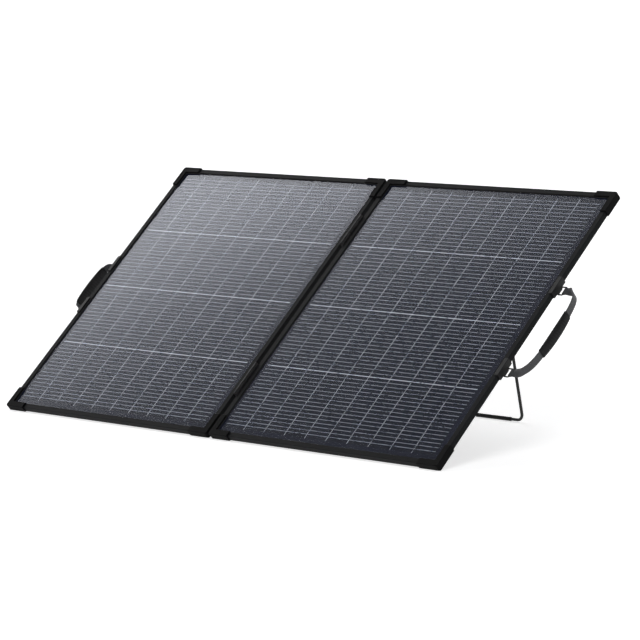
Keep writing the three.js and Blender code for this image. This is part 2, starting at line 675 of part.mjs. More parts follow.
for (const side of ["right", "left"]) {
  const panel = new THREE.Group();
  panel.position.x = ((side === "right" ? 1 : -1) * (SEAM_GAP + PANEL_W)) / 2;
  tilted.add(panel);
  addFrame(panel, side);
  addGuards(panel, side);
  addLaminate(panel, side);
  addCrossBar(panel, side);
  addJunctionBox(panel, side);
  addLeg(panel, side);
  addLegMounts(panel, side);
  addHandle(panel, side);
}
addHinges(tilted);

// The origin is the middle of the footprint, at the ground.
suitcase.updateMatrixWorld(true);
const bounds = new THREE.Box3().setFromObject(suitcase, true);
const middle = bounds.getCenter(new THREE.Vector3());
tilted.position.set(-middle.x, -middle.y, -bounds.min.z);

export default suitcase;
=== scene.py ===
import json
import math

import bmesh
import bpy
from mathutils import Matrix, Vector


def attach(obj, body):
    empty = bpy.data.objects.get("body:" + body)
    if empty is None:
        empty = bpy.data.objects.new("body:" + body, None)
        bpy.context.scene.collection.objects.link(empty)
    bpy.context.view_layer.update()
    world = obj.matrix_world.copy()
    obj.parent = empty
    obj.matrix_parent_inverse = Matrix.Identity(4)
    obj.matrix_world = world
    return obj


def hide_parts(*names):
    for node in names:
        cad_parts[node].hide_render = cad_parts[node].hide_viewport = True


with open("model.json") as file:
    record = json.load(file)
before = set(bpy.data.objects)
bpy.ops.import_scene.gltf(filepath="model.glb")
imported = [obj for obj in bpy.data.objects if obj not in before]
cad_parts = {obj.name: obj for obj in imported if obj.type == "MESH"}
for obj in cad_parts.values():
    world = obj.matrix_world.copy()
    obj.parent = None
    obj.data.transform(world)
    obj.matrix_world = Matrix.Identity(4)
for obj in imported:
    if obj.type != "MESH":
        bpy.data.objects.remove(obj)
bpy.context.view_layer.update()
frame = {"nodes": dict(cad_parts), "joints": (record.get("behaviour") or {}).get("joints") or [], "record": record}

# ---- Dimensions in millimetres, most of them shared with the CAD part ----------------------
PANEL_W, PANEL_H, SEAM_GAP = 668, 784, 12
RAIL_FACE, FRAME_DEPTH = 12.5, 13.5
GLASS_TOP = 2.9
SHEET_TOP, SHEET_THICK, SHEET_INSET = 6.02, 0.5, 2.3
HINGE_AXIS_Z = 3.4
LEG_HALF_WIDTH, LEG_LENGTH, LEG_OPEN = 85, 401.55, math.radians(60.9)
LEG_PIVOT_Y, LEG_PIVOT_DEPTH = 227.8, 20.5
ROD_R, ROD_BEND, STUB_BEND, STUB_END = 3.5, 16, 4, 104
SLEEVE_R, SLEEVE_LENGTH = 4.6, 103
BOX_HALF_X, BOX_HALF_Y, BOX_Y, BOX_FRONT, BOX_BACK, LID_BACK = 46, 34, 306, 7.29, 18, 21
RING_AXIS_OUT, RING_AXIS_DEPTH, RING_REACH, RING_HALF, RING_R = 0.4, 16.9, 13.6, 11, 1.6
STRAP_DEPTH, STRAP_START = 14.5, 17
SIGNS = {"right": 1, "left": -1}  # which way a panel's outer edge lies along x
HANDLES = {
    "right": dict(spacing=117.5, reach=63.5, power=3.3, grip_at=-4.5, grip=114, bulge=5, twist=30),
    "left": dict(spacing=68, reach=36.5, power=5.2, grip_at=0, grip=114, bulge=6, twist=15),
}

# ---- Places ---------------------------------------------------------------------------------
MM = 0.001
FOLD = next(j for j in frame["joints"] if j["name"] == "fold")
ACROSS = Vector((1, 0, 0))
UP = Vector(FOLD["axis"]).normalized()
OUT = ACROSS.cross(UP)
SEAM = Vector(FOLD["pos_m"]) - OUT * HINGE_AXIS_Z * MM


def basis(x_axis, y_axis, z_axis, origin):
    m = Matrix((x_axis, y_axis, z_axis)).transposed().to_4x4()
    m.translation = origin
    return m


def panel_place(side):
    """The panel's own flat frame: x across, y up the panel, z out of the glass."""
    return basis(ACROSS, UP, OUT, SEAM + ACROSS * SIGNS[side] * (SEAM_GAP + PANEL_W) / 2 * MM)


def leg_place(side):
    m = panel_place(side) @ Matrix.Translation(
        Vector((0, LEG_PIVOT_Y, -LEG_PIVOT_DEPTH)) * MM
    )
    return m @ Matrix.Rotation(LEG_OPEN, 4, "X")


# ---- Materials ------------------------------------------------------------------------------
def new_material(name):
    mat = bpy.data.materials.new(name)
    mat.use_nodes = True
    tree = mat.node_tree
    return mat, tree, tree.nodes["Principled BSDF"]


def node(tree, kind, inputs=None, **settings):
    n = tree.nodes.new(kind)
    for key, value in settings.items():
        setattr(n, key, value)
    for key, value in (inputs or {}).items():
        if isinstance(value, bpy.types.NodeSocket):
            tree.links.new(value, n.inputs[key])
        else:
            n.inputs[key].default_value = value
    return n


def noise(tree, coord, scale, detail=4.0):
    return node(
        tree, "ShaderNodeTexNoise",
        {"Vector": coord, "Scale": scale, "Detail": detail, "Roughness": 0.55},
    ).outputs["Fac"]


def spread(tree, value, low, high, start=0.3, end=0.7):
    """value from start to end, mapped to low to high."""
    return node(
        tree, "ShaderNodeMapRange",
        {"Value": value, "From Min": start, "From Max": end, "To Min": low, "To Max": high},
    ).outputs[0]


def tones(tree, value, dark, light, start=0.3, end=0.7):
    ramp = node(tree, "ShaderNodeValToRGB", {"Fac": value})
    ramp.color_ramp.elements[0].position = start
    ramp.color_ramp.elements[1].position = end
    ramp.color_ramp.elements[0].color = (*dark, 1)
    ramp.color_ramp.elements[1].color = (*light, 1)
    return ramp.outputs[0]


def bump(tree, bsdf, height, strength, distance):
    made = node(
        tree, "ShaderNodeBump", {"Height": height, "Strength": strength, "Distance": distance}
    )
    tree.links.new(made.outputs[0], bsdf.inputs["Normal"])


def surface(name, dark, light, rough, metal=0.0, patch=14, grain=900, grain_depth=0.00008,
            strength=0.35, specular=0.5):
    """A moulded or coated finish: colour patches, roughness that follows them, fine grain."""
    mat, tree, bsdf = new_material(name)
    coord = node(tree, "ShaderNodeTexCoord").outputs["Object"]
    slow = noise(tree, coord, patch)
    fine = noise(tree, coord, grain, detail=2.0)
    mixed = node(
        tree, "ShaderNodeMath", {0: slow, 1: spread(tree, fine, -0.12, 0.12)}, operation="ADD"
    ).outputs[0]
    tree.links.new(tones(tree, mixed, dark, light), bsdf.inputs["Base Color"])
    tree.links.new(spread(tree, slow, rough[0], rough[1]), bsdf.inputs["Roughness"])
    bsdf.inputs["Metallic"].default_value = metal
    bsdf.inputs["Specular IOR Level"].default_value = specular
    bump(tree, bsdf, fine, strength, grain_depth)
    return mat


def cell_material():
    """Dark blue silicon: each cell has its own tone, and faint grid fingers cross it."""
    mat, tree, bsdf = new_material("silicon_cell")
    coord = node(tree, "ShaderNodeTexCoord").outputs["Object"]
    island = node(tree, "ShaderNodeNewGeometry").outputs["Random Per Island"]
    cloud = noise(tree, coord, 9, detail=3.0)
    wave = node(
        tree, "ShaderNodeTexWave",
        {"Vector": coord, "Scale": 105.0, "Distortion": 0.0, "Detail": 0.0},
        wave_type="BANDS", bands_direction="X", wave_profile="SIN",
    ).outputs["Fac"]
    lines = spread(tree, wave, 0.0, 0.06, 0.9, 1.0)
    shade = node(
        tree, "ShaderNodeMath",
        {0: spread(tree, island, 0.30, 0.62, 0.0, 1.0), 1: spread(tree, cloud, -0.12, 0.12)},
        operation="ADD",
    ).outputs[0]
    shade = node(tree, "ShaderNodeMath", {0: shade, 1: lines}, operation="ADD").outputs[0]
    tree.links.new(
        tones(tree, shade, (0.0020, 0.0038, 0.0105), (0.0060, 0.0092, 0.0200), 0.2, 0.9),
        bsdf.inputs["Base Color"],
    )
    tree.links.new(spread(tree, cloud, 0.44, 0.56), bsdf.inputs["Roughness"])
    bsdf.inputs["Specular IOR Level"].default_value = 0.08
    return mat


def ribbon_material(name, dark, light, metal):
    """Tinned copper ribbon, slightly mottled by the solder."""
    mat, tree, bsdf = new_material(name)
    coord = node(tree, "ShaderNodeTexCoord").outputs["Object"]
    mottle = noise(tree, coord, 45, detail=2.0)
    tree.links.new(tones(tree, mottle, dark, light), bsdf.inputs["Base Color"])
    tree.links.new(spread(tree, mottle, 0.26, 0.30), bsdf.inputs["Roughness"])
    bsdf.inputs["Metallic"].default_value = metal
    return mat


def glass_material():
    """Low-iron cover glass: clear, with a soft etched sheen that grows at grazing angles."""
    mat, tree, bsdf = new_material("cover_glass")
    coord = node(tree, "ShaderNodeTexCoord").outputs["Object"]
    etch = noise(tree, coord, 30, detail=5.0)
    bsdf.inputs["Base Color"].default_value = (0.95, 0.96, 1.0, 1)
    bsdf.inputs["Metallic"].default_value = 1.0
    tree.links.new(spread(tree, etch, 0.090, 0.100), bsdf.inputs["Roughness"])
    facing = node(tree, "ShaderNodeLayerWeight", {"Blend": 0.5}).outputs["Facing"]
    power = node(tree, "ShaderNodeMath", {0: facing, 1: 5.0}, operation="POWER").outputs[0]
    share = node(
        tree, "ShaderNodeMath", {0: power, 1: 0.97, 2: 0.03}, operation="MULTIPLY_ADD"
    ).outputs[0]
    clear = node(tree, "ShaderNodeBsdfTransparent", {"Color": (0.97, 0.98, 1.0, 1)})
    mix = node(tree, "ShaderNodeMixShader", {0: share, 1: clear.outputs[0], 2: bsdf.outputs[0]})
    tree.links.new(mix.outputs[0], tree.nodes["Material Output"].inputs["Surface"])
    return mat


def webbing_material():
    """Woven polyester: warp and weft show as a small raised check, from the strap's own UVs, with painted shade
    darkening the check's low parts.
    """
    mat, tree, bsdf = new_material("woven_webbing")
    uv = node(tree, "ShaderNodeTexCoord").outputs["UV"]
    split = node(tree, "ShaderNodeSeparateXYZ", {0: uv})

    def ridges(value, pitch):
        turns = node(
            tree, "ShaderNodeMath", {0: value, 1: 2 * math.pi / pitch}, operation="MULTIPLY"
        ).outputs[0]
        return node(tree, "ShaderNodeMath", {0: turns}, operation="SINE").outputs[0]

    warp = ridges(split.outputs[0], 0.0021)
    weft = ridges(split.outputs[1], 0.0016)
    weave = node(tree, "ShaderNodeMath", {0: warp, 1: weft}, operation="MULTIPLY").outputs[0]
    fuzz = noise(tree, uv, 2600, detail=2.0)
    height = node(
        tree, "ShaderNodeMath", {0: spread(tree, weave, 0.0, 1.0, -1.0, 1.0),
                                 1: spread(tree, fuzz, -0.15, 0.15)}, operation="ADD"
    ).outputs[0]
    # painted shade: the base colour follows the weave's height, darker in its low parts and lighter on its raised
    # parts; the fuzz adds random tone
    tree.links.new(
        tones(tree, height, (0.022, 0.023, 0.025), (0.085, 0.087, 0.092), 0.1, 0.95),
        bsdf.inputs["Base Color"],
    )
    bsdf.inputs["Roughness"].default_value = 0.86
    bsdf.inputs["Specular IOR Level"].default_value = 0.25
    bsdf.inputs["Sheen Weight"].default_value = 0.35
    bsdf.inputs["Sheen Roughness"].default_value = 0.4
    bump(tree, bsdf, height, 0.7, 0.00035)
    return mat


def grip_material():
    """Foam-backed cloth with a small pebbled surface, painted darker between the pebbles as shade."""
    mat, tree, bsdf = new_material("pebbled_grip")
    coord = node(tree, "ShaderNodeTexCoord").outputs["Object"]
    pebbles = node(
        tree, "ShaderNodeTexVoronoi", {"Vector": coord, "Scale": 520.0}, feature="F1"
    ).outputs["Distance"]
    slow = noise(tree, coord, 40)
    # painted shade: the colour is darker in the low gaps between the pebbles and lighter on their tops, over a
    # slow random tone
    shade = node(
        tree, "ShaderNodeMath", {0: slow, 1: spread(tree, pebbles, 0.12, -0.12, 0.1, 0.7)},
        operation="ADD",
    ).outputs[0]
    tree.links.new(
        tones(tree, shade, (0.004, 0.004, 0.0045), (0.013, 0.013, 0.014)),
        bsdf.inputs["Base Color"],
    )
    tree.links.new(spread(tree, slow, 0.62, 0.8), bsdf.inputs["Roughness"])
    bsdf.inputs["Specular IOR Level"].default_value = 0.2
    bump(tree, bsdf, spread(tree, pebbles, 1.0, 0.0, 0.1, 0.6), 0.6, 0.0003)
    return mat


MATERIALS = {
    "frame": surface("anodised_black", (0.0040, 0.0042, 0.0047), (0.0075, 0.0078, 0.0086),
                     (0.40, 0.50), patch=7, grain=1500, grain_depth=0.00003, strength=0.25,
                     specular=0.05),
    "guard": surface("moulded_guard", (0.0020, 0.0020, 0.0021), (0.0044, 0.0044, 0.0047),
                     (0.50, 0.62), patch=20, grain=1100, grain_depth=0.00006, strength=0.4,
                     specular=0.04),
    "glass": glass_material(),
    "cells": cell_material(),
    "back_film": surface("back_film", (0.012, 0.012, 0.013), (0.019, 0.020, 0.021), (0.42, 0.55),
                         patch=9, grain=700, grain_depth=0.00005, strength=0.3),
    "steel": surface("black_steel", (0.008, 0.008, 0.009), (0.015, 0.015, 0.016), (0.34, 0.46),
                     patch=25, grain=1800, grain_depth=0.00003, strength=0.3, specular=0.3),
    "hinge": surface("black_hinge", (0.007, 0.007, 0.008), (0.013, 0.013, 0.014), (0.40, 0.52),
                     patch=40, grain=1800, grain_depth=0.00003, strength=0.3, specular=0.3),
    "rubber": surface("black_rubber", (0.007, 0.007, 0.007), (0.013, 0.013, 0.013), (0.72, 0.88),
                      patch=30, grain=1300, grain_depth=0.0001, strength=0.5, specular=0.3),
    "box_plastic": surface("box_plastic", (0.010, 0.010, 0.011), (0.017, 0.017, 0.018),
                           (0.44, 0.56), patch=22, grain=1400, grain_depth=0.00006, strength=0.4),
    "bracket_plastic": surface("bracket_plastic", (0.004, 0.004, 0.0042), (0.008, 0.008, 0.0085),
                               (0.36, 0.46), patch=30, grain=1500, grain_depth=0.00004,
                               strength=0.3, specular=0.2),
    "webbing": webbing_material(),
    "grip": grip_material(),
}
MARGIN = surface("cell_backing", (0.0050, 0.0070, 0.0180), (0.0080, 0.0105, 0.0250), (0.5, 0.6),
                 patch=12, grain=150, grain_depth=0.00002, strength=0.1, specular=0.08)
BUSBAR = ribbon_material("busbar_ribbon", (0.29, 0.31, 0.36), (0.41, 0.43, 0.49), 0.95)
BRIGHT = ribbon_material("joining_ribbon", (0.50, 0.53, 0.58), (0.66, 0.68, 0.73), 0.75)
THREAD = surface("stitch_thread", (0.030, 0.030, 0.032), (0.060, 0.060, 0.063), (0.7, 0.85),
                 patch=200, grain=3000)
SCREW = surface("screw_steel", (0.05, 0.05, 0.052), (0.10, 0.10, 0.105), (0.30, 0.42),
                metal=0.8, patch=120, grain=2500, grain_depth=0.00002)


# ---- Mesh building --------------------------------------------------------------------------
class Shape:
    """Vertices and faces in millimetres in a piece's own frame, with a material number per face."""

    def __init__(self):
        self.points, self.faces, self.mats, self.uvs = [], [], [], []

    def add(self, points, faces, mat=0, uvs=None):
        base = len(self.points)
        self.points += [tuple(p) for p in points]
        self.uvs += [tuple(u) for u in uvs] if uvs else [(p[0] * MM, p[1] * MM) for p in points]
        self.faces += [tuple(base + i for i in f) for f in faces]
        self.mats += [mat] * len(faces)

    def slab(self, x0, y0, x1, y1, z0, z1, mat=0, chamfer=0.0):
        """A flat plate with upright sides, its corners cut by the chamfer."""
        c = chamfer
        ring = [(x0 + c, y0), (x1 - c, y0), (x1, y0 + c), (x1, y1 - c),
                (x1 - c, y1), (x0 + c, y1), (x0, y1 - c), (x0, y0 + c)] if c else [
                    (x0, y0), (x1, y0), (x1, y1), (x0, y1)]
        n = len(ring)
        points = [(x, y, z0) for x, y in ring] + [(x, y, z1) for x, y in ring]
        sides = [(i, (i + 1) % n, n + (i + 1) % n, n + i) for i in range(n)]
        self.add(points, [tuple(range(n, 2 * n)), tuple(reversed(range(n))), *sides], mat)

    def rings(self, rings, closed=False, uvs=None):
        """A skin over rings with the same number of points, capped at both ends unless closed."""
        n, count = len(rings[0]), len(rings)
        faces = []
        for i in range(count if closed else count - 1):
            a, b = i * n, ((i + 1) % count) * n
            faces += [(a + k, a + (k + 1) % n, b + (k + 1) % n, b + k) for k in range(n)]
        if not closed:
            faces += [tuple(reversed(range(n))), tuple(range((count - 1) * n, count * n))]
        self.add([p for ring in rings for p in ring], faces, uvs=uvs)


def make(name, shape, place, body, mats, smooth=30, nodes=()):
    mesh = bpy.data.meshes.new(name)
    mesh.from_pydata([Vector(p) * MM for p in shape.points], [], shape.faces)
    for mat in mats:
        mesh.materials.append(mat)
    mesh.polygons.foreach_set("material_index", shape.mats)
    layer = mesh.uv_layers.new(name="UVMap")
    for loop in mesh.loops:
        layer.data[loop.index].uv = shape.uvs[loop.vertex_index]
    mesh.validate()
    fix_normals(mesh)
    if smooth:
        mesh.shade_smooth()
        mesh.set_sharp_from_angle(angle=math.radians(smooth))
    obj = bpy.data.objects.new(name, mesh)
    bpy.context.scene.collection.objects.link(obj)
    obj.matrix_world = place
    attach(obj, body)
    if nodes:
        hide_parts(*nodes)
    return obj


def fix_normals(mesh):
    b = bmesh.new()
    b.from_mesh(mesh)
    bmesh.ops.recalc_face_normals(b, faces=b.faces)
    b.to_mesh(mesh)
    b.free()


def rounded_path(corners, radii, steps=8, closed=False):
    """Points along straight runs with an arc of its own radius at each corner."""
    n, points = len(corners), []
    for i, corner in enumerate(corners):
        if not closed and i in (0, n - 1):
            points.append(corner.copy())
            continue
        a = (corners[i - 1] - corner).normalized()
        b = (corners[(i + 1) % n] - corner).normalized()
        half, r = a.angle(b) / 2, radii[i]
        centre = corner + (a + b).normalized() * r / math.sin(half)
        start = corner + a * r / math.tan(half) - centre
        end = corner + b * r / math.tan(half) - centre
        sweep = start.angle(end)
        for s in range(steps + 1):
            t = s / steps
            points.append(
                start * math.sin((1 - t) * sweep) / math.sin(sweep)
                + end * math.sin(t * sweep) / math.sin(sweep) + centre
            )
    return points


def tube(shape, points, radius, flat, sides=24, closed=False):
    """A round bar along a flat path; `flat` is the path plane's normal."""
    n, rings = len(points), []
    radii = radius if isinstance(radius, list) else [radius] * n
    for i, p in enumerate(points):
        before = points[i - 1] if closed or i else p
        after = points[(i + 1) % n] if closed or i < n - 1 else p
        along = (after - before).normalized()
        side = flat.cross(along)
        rings.append([
            p + side * radii[i] * math.cos(2 * math.pi * k / sides)
            + flat * radii[i] * math.sin(2 * math.pi * k / sides) for k in range(sides)
        ])
    shape.rings(rings, closed)


def lathe(shape, profile, centre, axis, sides, ripple=None):
    """A turned shape: profile is (radius, height) along the axis from the centre."""
    axis = axis.normalized()
    u = axis.orthogonal().normalized()
    v = axis.cross(u)
    rings = []
    for j, (r, h) in enumerate(profile):
        ring = []
        for k in range(sides):
            a = 2 * math.pi * k / sides
            rr = r * (ripple(j, k) if ripple else 1)
            ring.append(centre + axis * h + u * rr * math.cos(a) + v * rr * math.sin(a))
        rings.append(ring)
    shape.rings(rings)


def screw(shape, centre, axis, radius, height, socket=True):
    """A low domed head with a hexagon socket, or a plain rivet head."""
    if not socket:
        dome = [(radius * math.cos(a), height * math.sin(a)) for a in (0, 0.5, 0.95, 1.3)]
        lathe(shape, [(radius, -0.2), *dome], centre, axis, 20)
        return
    sides, socket_start, socket_share = 24, 4, 0.45

    def ripple(j, k):
        if j < socket_start:
            return 1
        a = (2 * math.pi * k / sides) % (math.pi / 3) - math.pi / 6
        return math.cos(math.pi / 6) / math.cos(a)

    profile = [(radius, -0.2), (radius, height * 0.4), (radius * 0.92, height * 0.75),
               (radius * 0.72, height), (radius * socket_share, height),
               (radius * socket_share, height * 0.35)]
    lathe(shape, profile, centre, axis, sides, ripple)


# ---- Finishes of the CAD nodes --------------------------------------------------------------
for entry in frame["record"]["subparts"]:
    obj, slot = frame["nodes"][entry["node"]], entry["material_slot"]
    obj.data.materials.clear()
    obj.data.materials.append(MATERIALS[slot])
    obj.data.shade_smooth()
    obj.data.set_sharp_from_angle(angle=math.radians(25))

# ---- Cells ----------------------------------------------------------------------------------
COLUMNS, ROWS = 10, 4
CELL_W, CELL_H = 60.67, 182.0
COLUMN_PITCH, ROW_PITCH = 61.66, 184.0
CELLS_X, CELLS_Y = -3.3, 2.4
BUSBARS = 16
BUSBAR_WIDTH, COLUMN_LINE, ROW_LINE = 1.15, 1.0, 1.9
BUSBAR_INSET, CELL_CHAMFER = 0.9, 1.2
ROW_LIFT = 0.005  # row lines stand this much above the column lines
PANE_THICK = 0.25
BACKING_Z, CELL_Z, BUSBAR_Z, JOIN_Z = -3.33, -3.26, -3.23, -3.20


def add_cells(side):
    shape = Shape()
    half_x, half_y = PANEL_W / 2 - SHEET_INSET, PANEL_H / 2 - SHEET_INSET
    shape.slab(-half_x, -half_y, half_x, half_y, -SHEET_TOP - SHEET_THICK, BACKING_Z, 0)
    left, right = (CELLS_X + s * COLUMNS / 2 * COLUMN_PITCH for s in (-1, 1))
    low = CELLS_Y - ROWS / 2 * ROW_PITCH
    for row in range(ROWS):
        y = low + (row + 0.5) * ROW_PITCH
        for column in range(COLUMNS):
            x = left + (column + 0.5) * COLUMN_PITCH
            shape.slab(x - CELL_W / 2, y - CELL_H / 2, x + CELL_W / 2, y + CELL_H / 2,
                       BACKING_Z, CELL_Z, 1, chamfer=CELL_CHAMFER)
            for k in range(1, BUSBARS + 1):
                yb = low + row * ROW_PITCH + k * ROW_PITCH / (BUSBARS + 1)
                reach = CELL_W / 2 - BUSBAR_INSET
                shape.slab(x - reach, yb - BUSBAR_WIDTH / 2, x + reach, yb + BUSBAR_WIDTH / 2,
                           CELL_Z, BUSBAR_Z, 2)
    for column in range(1, COLUMNS):
        x = left + column * COLUMN_PITCH
        shape.slab(x - COLUMN_LINE / 2, low, x + COLUMN_LINE / 2, low + ROWS * ROW_PITCH,
                   BACKING_Z, JOIN_Z, 3)
    for row in range(1, ROWS):
        y = low + row * ROW_PITCH
        shape.slab(left, y - ROW_LINE / 2, right, y + ROW_LINE / 2,
                   BACKING_Z, JOIN_Z + ROW_LIFT, 3)
    make(f"{side}_cells", shape, panel_place(side), f"{side}_panel",
         [MARGIN, MATERIALS["cells"], BUSBAR, BRIGHT], smooth=0, nodes=[f"{side}_cell_sheet"])
    pane = Shape()
    pane.slab(-half_x, -half_y, half_x, half_y, -GLASS_TOP - PANE_THICK, -GLASS_TOP)
    make(f"{side}_glass_pane", pane, panel_place(side), f"{side}_panel",
         [MATERIALS["glass"]], smooth=0, nodes=[f"{side}_front_glass"])


# ---- Glazing bead ---------------------------------------------------------------------------
def add_bead(side):
    """The black seal that shows between the frame's lip and the glass."""
    shape = Shape()
    section = [(RAIL_FACE - 2.5, -GLASS_TOP + 0.02), (RAIL_FACE + 1.3, -GLASS_TOP + 0.02),
               (RAIL_FACE + 1.1, -GLASS_TOP + 0.35), (RAIL_FACE + 0.5, -GLASS_TOP + 0.75),
               (RAIL_FACE + 0.08, -GLASS_TOP + 1.1), (RAIL_FACE + 0.05, -GLASS_TOP + 0.25),
               (RAIL_FACE - 2.5, -GLASS_TOP + 0.25)]
    rings = [[(sx * (PANEL_W / 2 - u), sy * (PANEL_H / 2 - u), z) for u, z in section]
             for sx, sy in ((-1, -1), (1, -1), (1, 1), (-1, 1))]
    shape.rings(rings, closed=True)
    make(f"{side}_glazing_bead", shape, panel_place(side), f"{side}_panel",
         [MATERIALS["rubber"]])


# ---- Legs -----------------------------------------------------------------------------------
def add_leg(side):
    corners = [Vector((x, y, 0)) for x, y in (
        (-STUB_END, 0), (-LEG_HALF_WIDTH, 0), (-LEG_HALF_WIDTH, -LEG_LENGTH),
        (LEG_HALF_WIDTH, -LEG_LENGTH), (LEG_HALF_WIDTH, 0), (STUB_END, 0))]
    path = rounded_path(corners, [0, STUB_BEND, ROD_BEND, ROD_BEND, STUB_BEND, 0])
    flat = Vector((0, 0, 1))
    chamfer = 0.6
    ends = [path[0], path[0] + Vector((chamfer, 0, 0)), *path[1:-1],
            path[-1] - Vector((chamfer, 0, 0)), path[-1]]
    radii = [ROD_R - chamfer, *[ROD_R] * (len(ends) - 2), ROD_R - chamfer]
    rod = Shape()
    tube(rod, ends, radii, flat)
    make(f"{side}_leg_bar", rod, leg_place(side), f"{side}_leg", [MATERIALS["steel"]],
         nodes=[f"{side}_leg_rod"])

    sleeve, ribs, half = Shape(), 16, SLEEVE_LENGTH / 2
    plain, groove_r = 6, SLEEVE_R - 0.4
    profile = [(ROD_R + 0.1, -half), (SLEEVE_R - 0.5, -half), (SLEEVE_R, -half + 0.6),
               (SLEEVE_R, -half + plain)]
    pitch = (SLEEVE_LENGTH - 2 * plain) / ribs
    for i in range(ribs):
        x = -half + plain + i * pitch
        profile += [(groove_r, x + 0.25 * pitch), (groove_r, x + 0.5 * pitch),
                    (SLEEVE_R, x + 0.75 * pitch), (SLEEVE_R, x + pitch)]
    profile += [(SLEEVE_R, half - 0.6), (SLEEVE_R - 0.5, half), (ROD_R + 0.1, half)]
    lathe(sleeve, profile, Vector((0, -LEG_LENGTH, 0)), Vector((1, 0, 0)), 28)
    make(f"{side}_leg_foot_sleeve", sleeve, leg_place(side), f"{side}_leg",
         [MATERIALS["rubber"]], nodes=[f"{side}_leg_sleeve"])


# ---- Handles --------------------------------------------------------------------------------
def smooth_step(t):
    t = min(max(t, 0), 1)
    return t * t * (3 - 2 * t)


def handle_place(side):
    """The middle of the frame's outer edge, with x to the right on both sides."""
    edge = panel_place(side) @ Vector((SIGNS[side] * PANEL_W / 2 * MM, 0, 0))
    return basis(ACROSS, UP, OUT, edge)


def mirror(shape, side):
    """Handles are built with x outwards, so the left one is turned over."""
    shape.points = [(SIGNS[side] * x, y, z) for x, y, z in shape.points]


class Arch:
    """The strap's middle line and the way its width turns from the ring to the grip."""

    def __init__(self, handle):
        self.h = handle
        dense = [self.at((i / 1440 - 0.5) * math.pi) for i in range(1441)]
        self.points, self.length = dense, [0.0]
        for a, b in zip(dense, dense[1:]):
            self.length.append(self.length[-1] + (b - a).length)
        self.total = self.length[-1]

    def at(self, angle):
        c, s = max(math.cos(angle), 0), math.sin(angle)
        h = self.h
        return Vector((
            STRAP_START + (h["reach"] - STRAP_START) * c ** (2 / h["power"]),
            h["spacing"] * math.copysign(abs(s) ** (2 / h["power"]), s), 0))

    def index(self, s):
        lo, hi = 0, len(self.length) - 1
        while hi - lo > 1:
            mid = (lo + hi) // 2
            lo, hi = (mid, hi) if self.length[mid] <= s else (lo, mid)
        return lo

    def point(self, s):
        i = self.index(min(max(s, 0), self.total))
        a, b = self.length[i], self.length[i + 1]
        t = (min(max(s, 0), self.total) - a) / max(b - a, 1e-9)
        p = self.points[i].lerp(self.points[i + 1], t)
        end = min(s, self.total - s)
        sag = smooth_step(end / self.h["twist"])
        depth = RING_AXIS_DEPTH + (STRAP_DEPTH - RING_AXIS_DEPTH) * sag
        return Vector((p.x, p.y, -depth))

    def frame(self, s):
        """Centre, width direction and thickness direction at length s."""
        step = 2.0
        s = min(max(s, 0), self.total)
        along = (self.point(min(s + step, self.total)) - self.point(max(s - step, 0))).normalized()
        end = min(s, self.total - s)
        turn = smooth_step(end / self.h["twist"]) * math.pi / 2
        z = Vector((0, 0, 1))
        flat = along.cross(z).normalized()
        facing = 1 if s > self.total / 2 else -1  # keeps the width along +y at both ends
        width = flat * math.cos(turn) * facing + z * math.sin(turn)
        width = (width - along * width.dot(along)).normalized()
        return self.point(s), width, along.cross(width)


STRAP_WIDTH, STRAP_THICK, RING_STRAP = 19.0, 2.3, 17.4
STRAP_STEP, SEWN_LENGTH, SEWN_EXTRA = 1.6, 20, 0.35
STRAP_WAIST = 0.86  # share of the thickness left near the strap's middle


def strap_section(half_width, half_thick):
    """A flat oval with full edges and a slightly thinner middle."""
    pairs = [(-1, 0.35), (-0.93, 0.9), (-0.8, 1.0), (-0.4, STRAP_WAIST), (0, 0.82),
             (0.4, STRAP_WAIST), (0.8, 1.0), (0.93, 0.9), (1, 0.35)]
    top = [(u * half_width, v * half_thick) for u, v in pairs]
    return top + [(u, -v) for u, v in reversed(top)]


def add_strap(side):
    handle = HANDLES[side]
    arch, shape = Arch(handle), Shape()
    steps = int(arch.total / STRAP_STEP)
    rings, uvs = [], []
    for i in range(steps + 1):
        s = arch.total * i / steps
        end = min(s, arch.total - s)
        centre, width, thick = arch.frame(s)
        half = (RING_STRAP + (STRAP_WIDTH - RING_STRAP) * smooth_step(end / 30)) / 2
        doubled = 1 + SEWN_EXTRA * smooth_step((SEWN_LENGTH - end) / 3)
        section = strap_section(half, STRAP_THICK / 2 * doubled)
        rings.append([centre + width * u + thick * v for u, v in section])
        uvs += [(s * MM, u * MM) for u, _ in section]
    shape.rings(rings, uvs=uvs)
    for end in (-1, 1):
        add_ring_loop(shape, handle, end)
    stitches = Shape()
    for start, direction in ((0, 1), (arch.total, -1)):
        for face in (-1, 1):
            box_stitch(stitches, arch, start, direction, face)
    shape.add(stitches.points, stitches.faces, 1, stitches.uvs)
    mirror(shape, side)
    make(f"{side}_handle_webbing", shape, handle_place(side), f"{side}_handle",
         [MATERIALS["webbing"], THREAD], smooth=40, nodes=[f"{side}_handle_strap"])


def add_ring_loop(shape, handle, end):
    """The strap's end, turned round the ring's outer bar and sewn back on itself."""
    bar = Vector((RING_AXIS_OUT + RING_REACH, end * handle["spacing"], -RING_AXIS_DEPTH))
    radius, thick = RING_R + 1.05, 1.5
    turn_from, turn_by, steps = math.radians(70), math.radians(220), 12
    path = [Vector((9, 0, 0.75)), Vector((5, 0, 1.3))]
    for k in range(steps + 1):
        a = turn_from + turn_by * k / steps
        path.append(Vector((radius * math.cos(a), 0, radius * math.sin(a))))
    path += [Vector((5, 0, -1.3)), Vector((9, 0, -0.75))]
    rings, uvs, run = [], [], 0.0
    for i, p in enumerate(path):
        along = (path[min(i + 1, len(path) - 1)] - path[max(i - 1, 0)]).normalized()
        normal = along.cross(Vector((0, 1, 0)))
        run += (p - path[i - 1]).length if i else 0
        section = strap_section(RING_STRAP / 2, thick / 2)
        rings.append([bar + p + Vector((0, u, 0)) + normal * v for u, v in section])
        uvs += [(run * MM, u * MM) for u, _ in section]
    shape.rings(rings, uvs=uvs)


